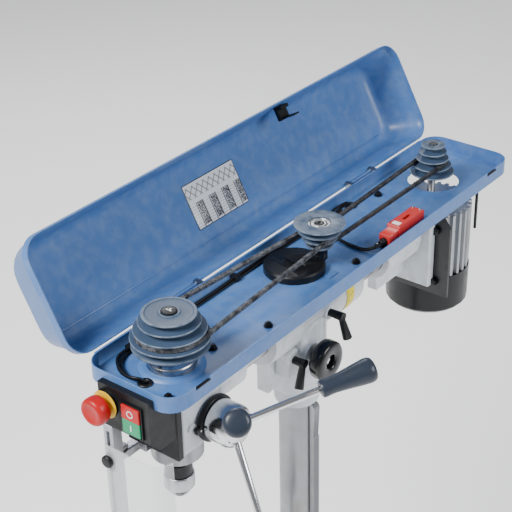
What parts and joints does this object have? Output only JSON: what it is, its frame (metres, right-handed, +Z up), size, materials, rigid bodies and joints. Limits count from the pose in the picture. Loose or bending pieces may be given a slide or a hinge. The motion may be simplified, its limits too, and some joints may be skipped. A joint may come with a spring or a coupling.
{
  "type": "radial drill press",
  "caption": "Bench radial drill press: sliding and tilting head on a round column, three stepped pulleys in an open belt tray with a hinged lid, tilting table and base.",
  "frame": {"origin": "centre of the column at the underside of the base", "axes": "+Z up along the column, -Y towards the operator, +X to the operator's right"},
  "size_m": [0.4416, 0.9615, 1.0879],
  "materials": {
    "tray_blue": "semi-gloss enamel",
    "casting_grey": "semi-gloss enamel",
    "machined_iron": "ground",
    "steel": "turned",
    "chrome": "polished",
    "alloy": "cast",
    "black_plastic": "satin",
    "black_metal": "satin",
    "pulley_grey": "blued",
    "belt_rubber": "matt",
    "red": "gloss",
    "green": "gloss",
    "clear": "clear"
  },
  "bodies": {
    "stand": {"base": "casting_grey", "column_flange": "casting_grey", "column": "steel", "rack_collar": "casting_grey"},
    "rack_body": {"rack": "steel"},
    "bracket": {"table_bracket": "casting_grey"},
    "crank": {"table_crank": "black_metal"},
    "bracket_clamp": {"bracket_lock": "black_metal"},
    "arm": {"table_arm": "casting_grey"},
    "table_clamp": {"table_lock": "black_metal"},
    "table_plate": {"table": "machined_iron"},
    "swivel_head": {"column_head": "casting_grey"},
    "wheel": {"ram_wheel": "black_plastic"},
    "ram_clamp": {"ram_lock": "black_metal"},
    "swivel_clamp": {"swivel_lock": "black_metal"},
    "head": {"head_casting": "casting_grey", "spring_drum": "black_metal", "return_spring": "steel", "guard_ring": "steel", "switch_box": "black_plastic", "belt_tray": "tray_blue", "hinge_front": "steel", "hinge_rear": "steel", "interlock_switch": "red", "bearing_housing": "casting_grey", "pulley_bearing": "steel", "front_belt": "belt_rubber", "rear_belt": "belt_rubber", "idler_foot": "black_metal", "motor_body": "alloy", "motor_stator": "machined_iron", "motor_bell": "black_metal", "motor_mount": "casting_grey", "wiring": "black_plastic"},
    "quill_body": {"quill": "steel", "quill_bearing": "steel"},
    "spindle_body": {"spindle": "steel", "chuck_body": "black_metal", "chuck_sleeve": "steel", "chuck_jaws": "steel"},
    "feed": {"feed_shaft": "steel", "depth_ring": "black_plastic", "feed_hub": "chrome", "feed_grip_rear": "black_plastic", "feed_grip_front": "black_plastic", "feed_grip_lower": "black_plastic"},
    "guard": {"guard_post": "alloy"},
    "shield": {"guard_shield": "clear"},
    "stop_key": {"stop_button": "red"},
    "start_key": {"start_button": "green"},
    "estop": {"emergency_stop": "red"},
    "cover": {"lid": "tray_blue", "latch_key": "black_metal"},
    "pulley_a": {"spindle_pulley": "pulley_grey"},
    "pulley_b": {"idler_pulley": "pulley_grey", "idler_bearing": "steel"},
    "pulley_c": {"motor_pulley": "pulley_grey", "motor_rotor": "steel"},
    "ram_body": {"ram": "steel"},
    "guard_screw": {"guard_knob": "black_plastic"}
  },
  "joints": [
    {"name": "rack_turn", "type": "hinge", "parent": "stand", "child": "rack_body", "pos_m": [0, 0, 0.1], "axis": [0, 0, 1], "range_deg": [-180, 180]},
    {"name": "table_lift", "type": "slide", "parent": "rack_body", "child": "bracket", "axis": [0, 0, 1], "range_m": [-0.16, 0.02]},
    {"name": "crank_turn", "type": "hinge", "parent": "bracket", "child": "crank", "pos_m": [0.066, -0.034, 0.34], "axis": [1, 0, 0], "range_deg": [-1000, 1000]},
    {"name": "bracket_lock_turn", "type": "hinge", "parent": "bracket", "child": "bracket_clamp", "pos_m": [0, 0.056, 0.34], "axis": [1, 0, 0], "range_deg": [-30, 45]},
    {"name": "table_tilt", "type": "hinge", "parent": "bracket", "child": "arm", "pos_m": [0, -0.105, 0.358], "axis": [0, 1, 0], "range_deg": [-45, 45]},
    {"name": "table_lock_turn", "type": "hinge", "parent": "arm", "child": "table_clamp", "pos_m": [0, -0.29, 0.358], "axis": [1, 0, 0], "range_deg": [-30, 30]},
    {"name": "table_turn", "type": "hinge", "parent": "arm", "child": "table_plate", "pos_m": [0, -0.29, 0.358], "axis": [0, 0, 1], "continuous": true},
    {"name": "head_turn", "type": "hinge", "parent": "stand", "child": "swivel_head", "pos_m": [0, 0, 0.713], "axis": [0, 0, 1], "range_deg": [-180, 180]},
    {"name": "wheel_turn", "type": "hinge", "parent": "swivel_head", "child": "wheel", "pos_m": [0, -0.028, 0.801], "axis": [1, 0, 0], "range_deg": [-200, 200]},
    {"name": "ram_lock_turn", "type": "hinge", "parent": "swivel_head", "child": "ram_clamp", "pos_m": [0, 0.02, 0.853], "axis": [1, 0, 0], "range_deg": [-60, 30]},
    {"name": "swivel_lock_turn", "type": "hinge", "parent": "swivel_head", "child": "swivel_clamp", "pos_m": [0, -0.058, 0.802], "axis": [1, 0, 0], "range_deg": [-20, 30]},
    {"name": "ram_slide", "type": "slide", "parent": "swivel_head", "child": "ram_body", "axis": [0, -1, 0], "range_m": [-0.06, 0.062]},
    {"name": "head_tilt", "type": "hinge", "parent": "ram_body", "child": "head", "pos_m": [0, -0.29, 0.853], "axis": [0, 1, 0], "range_deg": [-45, 30]},
    {"name": "quill_feed", "type": "slide", "parent": "head", "child": "quill_body", "axis": [0, 0, -1], "range_m": [0, 0.065], "stiffness_N_per_m": 420, "springref_m": -0.08},
    {"name": "spindle_spin", "type": "hinge", "parent": "quill_body", "child": "spindle_body", "pos_m": [0, -0.29, 0.75], "axis": [0, 0, 1], "continuous": true},
    {"name": "pulley_a_spin", "type": "hinge", "parent": "head", "child": "pulley_a", "pos_m": [0, -0.29, 0.96], "axis": [0, 0, 1], "continuous": true},
    {"name": "pulley_b_spin", "type": "hinge", "parent": "head", "child": "pulley_b", "pos_m": [0.005, 0.055, 0.96], "axis": [0, 0, 1], "continuous": true},
    {"name": "motor_spin", "type": "hinge", "parent": "head", "child": "pulley_c", "pos_m": [0, 0.397, 0.96], "axis": [0, 0, 1], "continuous": true},
    {"name": "feed_turn", "type": "hinge", "parent": "head", "child": "feed", "pos_m": [0, -0.26, 0.819], "axis": [1, 0, 0], "range_deg": [-10, 300]},
    {"name": "lid_hinge", "type": "hinge", "parent": "head", "child": "cover", "pos_m": [-0.0925, 0.07, 0.927], "axis": [0, 1, 0], "range_deg": [0, 118.5]},
    {"name": "stop_press", "type": "slide", "parent": "head", "child": "stop_key", "axis": [0, 1, 0], "range_m": [0, 0.003], "stiffness_N_per_m": 300, "springref_m": -0.004},
    {"name": "start_press", "type": "slide", "parent": "head", "child": "start_key", "axis": [0, 1, 0], "range_m": [0, 0.003], "stiffness_N_per_m": 300, "springref_m": -0.004},
    {"name": "estop_press", "type": "slide", "parent": "head", "child": "estop", "axis": [0, 1, 0], "range_m": [0, 0.005]},
    {"name": "guard_swing", "type": "hinge", "parent": "head", "child": "guard", "pos_m": [-0.052, -0.35, 0.768], "axis": [0, 0, 1], "range_deg": [-90, 0]},
    {"name": "guard_lift", "type": "slide", "parent": "guard", "child": "shield", "axis": [0, 0, 1], "range_m": [-0.04, 0.012]},
    {"name": "guard_knob_turn", "type": "hinge", "parent": "shield", "child": "guard_screw", "pos_m": [-0.052, -0.38, 0.77], "axis": [0, -1, 0], "range_deg": [-180, 180]}
  ],
  "couplings": [
    {"joint": "pulley_b_spin", "follows": "motor_spin", "ratio": 1.3371},
    {"joint": "pulley_a_spin", "follows": "motor_spin", "ratio": 0.66574},
    {"joint": "spindle_spin", "follows": "motor_spin", "ratio": 0.66574},
    {"joint": "feed_turn", "follows": "quill_feed", "rad_per_m": 71.429},
    {"joint": "wheel_turn", "follows": "ram_slide", "rad_per_m": 45.455},
    {"joint": "crank_turn", "follows": "table_lift", "rad_per_m": 83.333}
  ]
}
